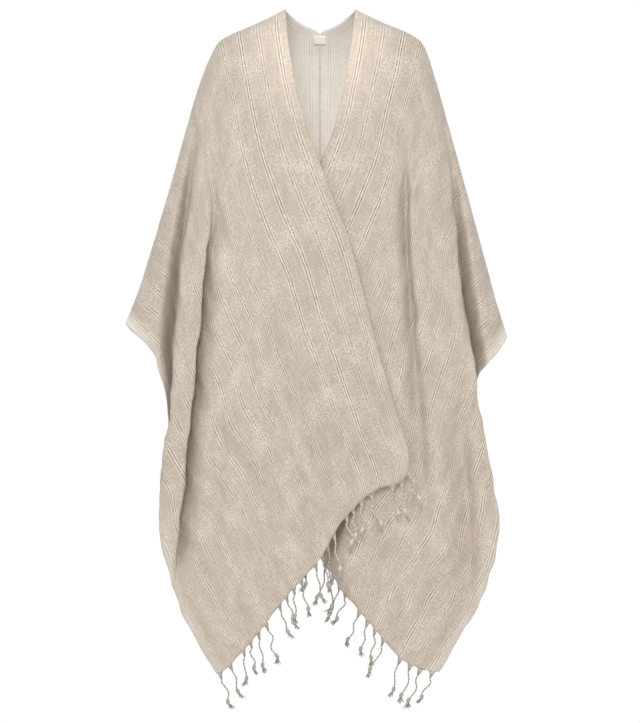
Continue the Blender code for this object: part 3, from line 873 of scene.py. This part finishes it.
def make_fringe(name, side, end, lean, length, seed):
    """All cords of one hem as one mesh; ply tells the plies, knots and threads apart and carries the
    painted light on the cords by the lap.
    """
    lines, shares = cord_lines(side, end, lean, length, seed)
    parts = [*ply_tubes(lines), knot_tubes(lines), tuft_tubes(lines, seed + 1),
             root_tubes(side, end, lines, shares)]
    # Painted light: the cords by the lap on the right front get a paler tone, for front light on them
    # where they hang over the cloth.
    painted_light = PAINTED_LIGHT_LIFT * (shares < PAINTED_LIGHT_CORDS) if side < 0 and end > 0 else 0.0 * shares
    ply = np.concatenate([np.repeat(tone - painted_light, len(vertices) // len(shares))
                          for (vertices, _), tone in zip(parts, TONES)])
    return make_mesh(name, *join_arrays(parts), ply=ply)


fringes = {}
for number, (node, side, end, lean, length) in enumerate(FRINGES):
    seed = FRINGE_SEED + 3 * number
    fringes[node] = make_fringe(node.replace("fringe", "cords"), side, end, lean, length, seed)
print("faces of each fringe:", {name: len(piece.data.polygons) for name, piece in fringes.items()})

# %% [markdown]
# ## The centre back seam
# The two selvedges are laid edge to edge and whipped together, so small slanting stitches cross
# the seam on both faces, one every 6 mm. Each stitch is a thread that comes up on one side,
# bows over the join and goes down on the other.

# %% Seam stitches
STITCH_STEP = 0.006
STITCH_REACH = 0.0026
STITCH_SLANT = 0.45
STITCH_RADIUS = 0.00042
STITCH_BOW = 0.0011
STITCH_SINK = 0.0004
# Where the stitches run along the seam, and the share of the back where the seam begins
SEAM_TRAVEL = (0.004, 0.612)
SEAM_TOP = 0.184


def seam_stitches(face):
    """Stitches along the seam on the outer (1) or inner (-1) face, as arrays of tubes."""
    travel = np.arange(*SEAM_TRAVEL, STITCH_STEP)
    along = -np.linspace(SEAM_TOP, 1.0, 200)
    spine = cloth_points(1, np.array((0.0, 0.01)), along[::-1])[0][::-1]
    z = np.interp(travel, travelled(spine), spine[:, 2])
    y = np.interp(travel, travelled(spine), spine[:, 1])
    share = np.linspace(-1.0, 1.0, 7)[None, :]
    x = share * STITCH_REACH
    height = STITCH_BOW * (1.0 - share ** 4) - STITCH_SINK
    slope = np.gradient(y, z)
    level = np.zeros_like(z)
    out = np.stack((level, 1.0 / np.hypot(1.0, slope), -slope / np.hypot(1.0, slope)), axis=-1)
    centre = np.stack((level, y, z), axis=-1)
    path = centre[:, None] + out[:, None] * (face * height)[..., None]
    path = path + np.stack((x, np.zeros_like(x), x * STITCH_SLANT), axis=-1)
    return tube_arrays(path, np.full(path.shape[:2], STITCH_RADIUS), 5)


vertices, quads = join_arrays([seam_stitches(1), seam_stitches(-1)])
stitches = make_mesh("seam_stitches", vertices, quads)
print("stitch faces:", len(quads))

# %% [markdown]
# ## The blank neck label
# A bare tape lies over the seam on the inner face, just under the nape. It follows the cloth,
# stands about 2 mm off it and bows a little in the middle. It has no words on it.

# %% Neck label
LABEL_WIDTH = 0.024
LABEL_DEPTH = 0.017
LABEL_TOP = -0.0395
LABEL_LEAN = 0.93
LABEL_GAP = 0.0019
LABEL_BOW = 0.0006
LABEL_LIFT = 0.0006
LABEL_WALL = 0.0006


def make_label(name):
    """Tape as a grid 13 x 11: the cloth under it, moved inwards by 1.9 mm plus a small bow."""
    x = np.linspace(-LABEL_WIDTH / 2.0, LABEL_WIDTH / 2.0, 13)[:, None]
    down = np.linspace(0.0, 1.0, 11)[None, :]
    x, z = np.broadcast_arrays(x, LABEL_TOP - LABEL_DEPTH * LABEL_LEAN * down)
    y = cloth_depth(1, -1, np.abs(x), z)
    bow = LABEL_BOW * np.sin(np.pi * down) * (1.0 - (2.0 * x / LABEL_WIDTH) ** 2)
    points = np.stack((x, y - LABEL_GAP - bow, z + LABEL_LIFT), axis=-1)
    uv = np.stack((x, z), axis=-1)
    piece = make_mesh(name, points, grid_quads(13, 11), uv)
    wall = piece.modifiers.new("wall", "SOLIDIFY")
    wall.thickness = LABEL_WALL
    wall.offset = 0.0
    return piece


label = make_label("blank_label")
print("label size in mm:", LABEL_WIDTH * 1000, "x", LABEL_DEPTH * 1000)

# %% [markdown]
# ## Colours and nodes
# Colours are picked as sRGB hex values and turned to the linear numbers that the shader needs.
# One function adds a shader node, sets it up and links its inputs.

# %% Colour and node helpers
def linear(hex_colour):
    """Linear colour and alpha from sRGB hex: ((c + 0.055) / 1.055)^2.4, or c / 12.92 if dark."""
    shares = np.array([int(hex_colour[place:place + 2], 16) for place in (1, 3, 5)]) / 255.0
    colour = np.where(shares <= 0.04045, shares / 12.92, ((shares + 0.055) / 1.055) ** 2.4)
    return (*colour.tolist(), 1.0)


def add_node(tree, kind, settings=None, inputs=None):
    """A shader node; an input is a value, a socket to link, or a node to link by its first output."""
    node = tree.nodes.new("ShaderNode" + kind)
    for name, value in (settings or {}).items():
        setattr(node, name, value)
    for name, value in (inputs or {}).items():
        if isinstance(value, bpy.types.Node):
            value = value.outputs[0]
        if isinstance(value, bpy.types.NodeSocket):
            tree.links.new(value, node.inputs[name])
        else:
            node.inputs[name].default_value = value
    return node


def new_material(name):
    """An empty node material and its tree."""
    material = bpy.data.materials.new(name)
    material.use_nodes = True
    material.node_tree.nodes.clear()
    return material, material.node_tree


print("mid grey in linear light:", np.round(linear("#808080"), 3))

# %% [markdown]
# ## Striped linen with bright flecks
# The cloth is a plain weave of undyed linen. Every 39 mm a group of warp threads makes five fine
# lines, light and dark by turns, some groups stronger than others, and here and there a metallic
# thread comes to the face, its sheen painted in as a pale colour. Slubs, the thick places in flax
# yarn, give the ground its streaks. All of it is placed by the UV map, so it follows the cloth
# through every fold. Threads of 0.5 mm are too fine to show from four metres, so the slubs are
# drawn about 2 mm wide.

# %% Linen material
STRIPE_FIRST = 0.020
STRIPE_STEP = 0.0388
STRIPE_REACH_MM = 10.5
STRIPE_DRIFT = 0.0022
SELVEDGE_WIDTH = 0.034
SELVEDGE_EDGE = 0.002
CLOUD_SHARE = 0.4
PATCH_SHARE = 0.5
LIGHT_THROUGH = 0.30

# Strength of the dark and bright lines of a group at distances from its middle, in millimetres.
DARK_LINES = ((0.0, 0.0), (1.3, 0.0), (1.8, 0.8), (3.15, 0.8), (3.8, 0.0))
BRIGHT_LINES = ((0.0, 0.8), (1.05, 0.8), (1.6, 0.0), (3.9, 0.0), (4.5, 0.6), (5.8, 0.6), (6.5, 0.0))

# Noises on the cloth: how wide and long their features are, in millimetres, and their detail.
# The slubs of both yarns are drawn four times as wide as real ones, so that they show.
NOISE_COLUMNS = ("name", "across_mm", "along_mm", "detail")
NOISES = (
    ("drift", 45.5, 45.5, 2.0),
    ("wear", 2.38, 11.8, 2.0),
    ("warp_slub", 1.92, 38.5, 3.0),
    ("weft_slub", 26.3, 1.79, 3.0),
    ("patch", 58.8, 58.8, 3.0),
    ("cloud", 38.5, 66.7, 4.0),
    ("fleck", 3.33, 2.38, 1.0),
)

# Ranges: an input from the first value to the second gives the third to the fourth.
RANGE_COLUMNS = ("from_low", "from_high", "to_low", "to_high")
RANGES = {
    "strength": (0.0, 1.0, 0.60, 1.0),
    "wear": (0.34, 0.60, 0.30, 1.0),
    "slubs": (0.90, 1.50, 0.0, 1.0),
    "fleck": (0.82, 0.95, 0.0, 0.50),
    # The outer selvedge band is pale partly from its own plain weave and partly from painted light,
    # strongest near the arm's tip, where light shows through the single layer.
    "selvedge_and_tip_light": (LOOM_WIDTH - SELVEDGE_WIDTH, LOOM_WIDTH - SELVEDGE_EDGE, 0.0, 1.0),
    "tip_light_share": (0.05, 0.14, 1.0, 0.3),
    "gloss": (0.0, 1.0, 0.82, 0.45),
}


def linen_material(name, ground, slub, dark, bright):
    """Linen whose stripes, slubs and flecks are all worked out from metres on the cloth."""
    material, tree = new_material(name)
    uv = add_node(tree, "UVMap", {"uv_map": "cloth_metres"})
    place = add_node(tree, "SeparateXYZ", inputs={0: uv})
    noise = {}
    for pattern, across, along, detail in NOISES:
        scaled = add_node(tree, "Mapping", inputs={
            "Vector": uv, "Scale": (1000.0 / across, 1000.0 / along, 1.0)})
        noise[pattern] = add_node(tree, "TexNoise", {"noise_dimensions": "2D"},
                                  {"Vector": scaled, "Scale": 1.0, "Detail": detail})

    # Distance from the middle of the nearest stripe group, as a share of the ramps' reach
    drift = add_node(tree, "Math", {"operation": "MULTIPLY_ADD"},
                     {0: noise["drift"], 1: STRIPE_DRIFT, 2: -STRIPE_DRIFT / 2.0})
    over = add_node(tree, "Math", {"operation": "ADD"}, {0: place, 1: drift})
    reach = add_node(tree, "Math", {"operation": "MULTIPLY_ADD"},
                     {0: over, 1: 1.0 / STRIPE_STEP, 2: 0.5 - STRIPE_FIRST / STRIPE_STEP})
    group = add_node(tree, "Math", {"operation": "FLOOR"}, {0: reach})
    for operation, value in (("FRACT", 0.5), ("SUBTRACT", 0.5), ("ABSOLUTE", 0.5),
                             ("MULTIPLY", STRIPE_STEP * 1000.0 / STRIPE_REACH_MM)):
        reach = add_node(tree, "Math", {"operation": operation}, {0: reach, 1: value})

    # Each group has its own strength, and every line wears thinner in places. Slubs of both yarns
    # lie in larger clouds of browner flax, and flecks in patches. The outer selvedge is left pale, and
    # near the tip of the arm it is painted paler still: painted light, for light through the single
    # layer.
    own = add_node(tree, "TexWhiteNoise", {"noise_dimensions": "1D"}, {"W": group})
    weave = add_node(tree, "Math", {"operation": "ADD"},
                     {0: noise["warp_slub"], 1: noise["weft_slub"]})
    slubs = add_node(tree, "Math", {"operation": "MULTIPLY_ADD"},
                     {0: noise["cloud"], 1: CLOUD_SHARE, 2: weave})
    # The flecks are real metallic threads, but their sheen is painted in as a pale colour: a painted
    # highlight.
    fleck = add_node(tree, "Math", {"operation": "MULTIPLY_ADD"},
                     {0: noise["patch"], 1: PATCH_SHARE, 2: noise["fleck"]})
    from_ridge = add_node(tree, "Math", {"operation": "ABSOLUTE"}, {0: place.outputs[1]})
    ranged = {"strength": own, "wear": noise["wear"], "slubs": slubs, "fleck": fleck,
              "selvedge_and_tip_light": place, "tip_light_share": from_ridge}
    for part, source in ranged.items():
        ranged[part] = add_node(tree, "MapRange", inputs=dict(enumerate((source, *RANGES[part]))))
    gloss = add_node(tree, "MapRange", inputs=dict(enumerate((ranged["fleck"], *RANGES["gloss"]))))
    worn = add_node(tree, "Math", {"operation": "MULTIPLY"},
                    {0: ranged["wear"], 1: ranged["strength"]})
    selvedge_and_tip_light = add_node(tree, "Math", {"operation": "MULTIPLY"},
                      {0: ranged["selvedge_and_tip_light"], 1: ranged["tip_light_share"]})

    lines = {}
    for kind, stops in (("dark", DARK_LINES), ("bright", BRIGHT_LINES)):
        ramp = add_node(tree, "ValToRGB", inputs={0: reach})
        elements = ramp.color_ramp.elements
        for number, (distance, strength) in enumerate(stops):
            place_on_ramp = distance / STRIPE_REACH_MM
            stop = elements[number] if number < 2 else elements.new(place_on_ramp)
            stop.position = place_on_ramp
            stop.color = (strength, strength, strength, 1.0)
        lines[kind] = add_node(tree, "Math", {"operation": "MULTIPLY"}, {0: ramp, 1: worn})
    pale = add_node(tree, "Math", {"operation": "MAXIMUM"}, {0: lines["bright"], 1: ranged["fleck"]})

    colour = add_node(tree, "Mix", {"data_type": "RGBA"},
                      {0: ranged["slubs"], 6: linear(ground), 7: linear(slub)})
    for share, tone in ((lines["dark"], dark), (pale, bright), (selvedge_and_tip_light, bright)):
        colour = add_node(tree, "Mix", {"data_type": "RGBA"},
                          {0: share, 6: colour.outputs[2], 7: linear(tone)})
    bump = add_node(tree, "Bump", inputs={"Height": weave, "Strength": 0.35, "Distance": 0.0006})
    shader = add_node(tree, "BsdfPrincipled", inputs={
        "Base Color": colour.outputs[2], "Roughness": gloss, "Normal": bump,
        "Sheen Weight": 0.15, "Sheen Roughness": 0.5})
    glow = add_node(tree, "BsdfTranslucent", inputs={"Color": colour.outputs[2], "Normal": bump})
    both = add_node(tree, "MixShader", inputs={0: LIGHT_THROUGH, 1: shader, 2: glow})
    add_node(tree, "OutputMaterial", inputs={0: both})
    return material


linen_face = linen_material("linen_face", "#ccc0b2", "#b5a696", "#786450", "#f1ebe2")
# The inner face gets a lighter copy of the linen colours: painted light, standing in for light that
# comes through the sheer cloth and in at the neck.
linen_inner_painted_light = linen_material("linen_inner_painted_light", "#eae5de", "#ddd7ce", "#c2b6a7", "#f6f2eb")
for cloth in (cloth_right, cloth_left):
    cloth.data.materials.append(linen_face)
    cloth.data.materials.append(linen_inner_painted_light)
print("stripe groups across one length:", int((LOOM_WIDTH - STRIPE_FIRST) / STRIPE_STEP) + 1)

# %% [markdown]
# ## Cord yarn, thread and tape
# The cords are the same flax yarn, so they are matt, with one pale ply and one darker. Those
# nearest the lap on the right front are painted paler: painted light, for front light on cords
# that hang over the cloth. The seam thread is a plain waxed linen thread, and the label is a
# dense white cotton tape.

# %% Cord, thread and tape materials
HAIR_MM = 10.0 / 9.0
TONE_RANGE = (0.2, 1.3, 0.0, 1.0)
# A ply below zero, on the cords by the lap, turns towards a paler tone: painted light.
PAINTED_LIGHT_RANGE = (0.0, -0.4, 0.0, 1.0)


def finish_yarn(tree, colour, grain, strength, depth, roughness, sheen):
    """The end of a yarn's tree: bumps from its grain, a matt shader and the output."""
    bump = add_node(tree, "Bump", inputs={"Height": grain, "Strength": strength, "Distance": depth})
    shader = add_node(tree, "BsdfPrincipled", inputs={
        "Base Color": colour.outputs[2], "Roughness": roughness, "Normal": bump,
        "Sheen Weight": sheen})
    add_node(tree, "OutputMaterial", inputs={0: shader})


def cord_material(name, painted_light_tone, pale, dark):
    """Flax yarn: the ply attribute picks its tone, and fine noise roughens it. A ply below zero mixes
    in the painted light tone.
    """
    material, tree = new_material(name)
    ply = add_node(tree, "Attribute", {"attribute_name": "ply"})
    place = add_node(tree, "TexCoord")
    hair = add_node(tree, "TexNoise", inputs={
        "Vector": place.outputs["Object"], "Scale": 1000.0 / HAIR_MM, "Detail": 2.0})
    tone = add_node(tree, "Math", {"operation": "MULTIPLY_ADD"},
                    {0: hair, 1: 0.5, 2: ply.outputs["Fac"]})
    tone = add_node(tree, "MapRange", inputs=dict(enumerate((tone, *TONE_RANGE))))
    colour = add_node(tree, "Mix", {"data_type": "RGBA"},
                      {0: tone, 6: linear(pale), 7: linear(dark)})
    painted_light_share = add_node(tree, "MapRange", inputs=dict(enumerate((ply.outputs["Fac"], *PAINTED_LIGHT_RANGE))))
    colour = add_node(tree, "Mix", {"data_type": "RGBA"},
                      {0: painted_light_share, 6: colour.outputs[2], 7: linear(painted_light_tone)})
    finish_yarn(tree, colour, hair, 0.4, 0.0004, 0.85, 0.2)
    return material


def woven_material(name, light, shade, across_mm, along_mm, roughness):
    """Tape or thread with a fine grain between two tones, its features sized in millimetres."""
    material, tree = new_material(name)
    place = add_node(tree, "TexCoord")
    scaled = add_node(tree, "Mapping", inputs={
        "Vector": place.outputs["Object"],
        "Scale": (1000.0 / across_mm, 1000.0 / across_mm, 1000.0 / along_mm)})
    grain = add_node(tree, "TexNoise", inputs={"Vector": scaled, "Scale": 1.0, "Detail": 2.0})
    colour = add_node(tree, "Mix", {"data_type": "RGBA"},
                      {0: grain, 6: linear(light), 7: linear(shade)})
    finish_yarn(tree, colour, grain, 0.3, 0.0003, roughness, 0.0)
    return material


# The first colour is the painted light tone of the cords lit from the front over the cloth.
cord_yarn = cord_material("flax_cord", "#d6c7b2", "#b8afa4", "#766f67")
for piece in fringes.values():
    piece.data.materials.append(cord_yarn)
thread = woven_material("seam_thread", "#d6c8b4", "#bba98f", HAIR_MM, HAIR_MM, 0.7)
stitches.data.materials.append(thread)
tape = woven_material("label_tape", "#e6e3de", "#d4d0c9", 2.0 / 3.0, 2.5, 0.6)
label.data.materials.append(tape)
print("materials:", [material.name for material in bpy.data.materials if material.users])

# %% [markdown]
# ## Join the pieces to the frame
# Every piece rides on the one body. The cloth, the cords and the label stand for their solids,
# which stay in the physics model.

# %% Ride and replace
bodies = list(frame["bodies"])
for piece, node in ((cloth_right, "panel_right"), (cloth_left, "panel_left"), (label, "neck_label"),
                    *((fringe, name) for name, fringe in fringes.items())):
    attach(piece, bodies[0])
    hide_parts(node)
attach(stitches, bodies[0])
print("body:", bodies)

# %% [markdown]
# ## Studio
# A white surround lights the wrap evenly from all sides, as a white studio does. A soft lamp just
# above the camera's line of sight and a weak, broad one on its right give the folds their form,
# and a narrow lamp looks into the neck. A plain pale floor lies well below, because the wrap isn't
# standing.

# %% Floor
FLOOR_HEIGHT = -2.2
floor_points = np.array([[(x, y, FLOOR_HEIGHT) for y in (-5.0, 3.0)] for x in (-4.0, 4.0)])
floor = make_mesh("pale_floor", floor_points, grid_quads(2, 2)[:, ::-1])
paper, paper_tree = new_material("matt_white_paper")
paper_shader = add_node(paper_tree, "BsdfPrincipled", inputs={
    "Base Color": linear("#f2f1ef"), "Roughness": 1.0})
add_node(paper_tree, "OutputMaterial", inputs={0: paper_shader.outputs[0]})
floor.data.materials.append(paper)
print("floor height:", FLOOR_HEIGHT)

# %% Light
def aim_at(lamp, place, aim):
    """Put a lamp at a place and turn its -Z axis to the aim."""
    holder = bpy.data.objects.new(lamp.name, lamp)
    holder.location = place
    direction = np.array(aim) - np.array(place)
    turn = np.arctan2(direction[1], direction[0])
    tilt = np.arctan2(np.hypot(direction[0], direction[1]), -direction[2])
    holder.rotation_euler = (tilt, 0.0, turn - np.pi / 2.0)
    bpy.context.collection.objects.link(holder)


LAMP_COLUMNS = ("name", "place", "aim", "size_m", "power_w")
LAMPS = (
    ("key", (-0.2, -2.2, 0.3), (0.0, 0.0, -0.5), 0.7, 25.5),
    ("fill", (2.2, -3.0, 0.4), (0.0, 0.0, -0.5), 2.0, 6.0),
)
for name, place, aim, size, power in LAMPS:
    lamp = bpy.data.lights.new(name, "AREA")
    lamp.shape = "SQUARE"
    lamp.size = size
    lamp.energy = power
    aim_at(lamp, place, aim)
neck_lamp = bpy.data.lights.new("neck", "SPOT")
neck_lamp.energy = 350.0
neck_lamp.spot_size = np.radians(4.8)
neck_lamp.spot_blend = 1.0
neck_lamp.shadow_soft_size = 0.12
aim_at(neck_lamp, (0.0, -2.0, 0.9), (0.0, 0.09, -0.15))

world = bpy.data.worlds.new("studio")
world.use_nodes = True
background = world.node_tree.nodes["Background"]
background.inputs[0].default_value = linear("#ffffff")
background.inputs[1].default_value = 1.0
bpy.context.scene.world = world
bpy.context.scene.view_settings.view_transform = "Standard"
print("lamps:", [lamp.name for lamp in bpy.data.lights])

# %% [markdown]
# ## Camera
# The camera stands level with the middle of the wrap, 4 m in front of it, and its lens takes in
# 1.374 m of height, which is the picture's 723 points at 1.9 mm each.

# %% Camera
CAMERA_DISTANCE = 4.0
POINT = 0.0019
PICTURE_POINTS = 723
NECK_ROW = 10
SENSOR_MM = 36.0
camera_data = bpy.data.cameras.new("camera")
camera_data.sensor_width = SENSOR_MM
camera_data.lens = SENSOR_MM * CAMERA_DISTANCE / (PICTURE_POINTS * POINT)
camera = bpy.data.objects.new("camera", camera_data)
camera.location = (0.0, -CAMERA_DISTANCE, (NECK_ROW - PICTURE_POINTS / 2.0) * POINT)
camera.rotation_euler = (np.pi / 2.0, 0.0, 0.0)
bpy.context.collection.objects.link(camera)
bpy.context.scene.camera = camera
print("lens in mm:", round(camera_data.lens, 1))

# %% Finish
bpy.context.view_layer.update()
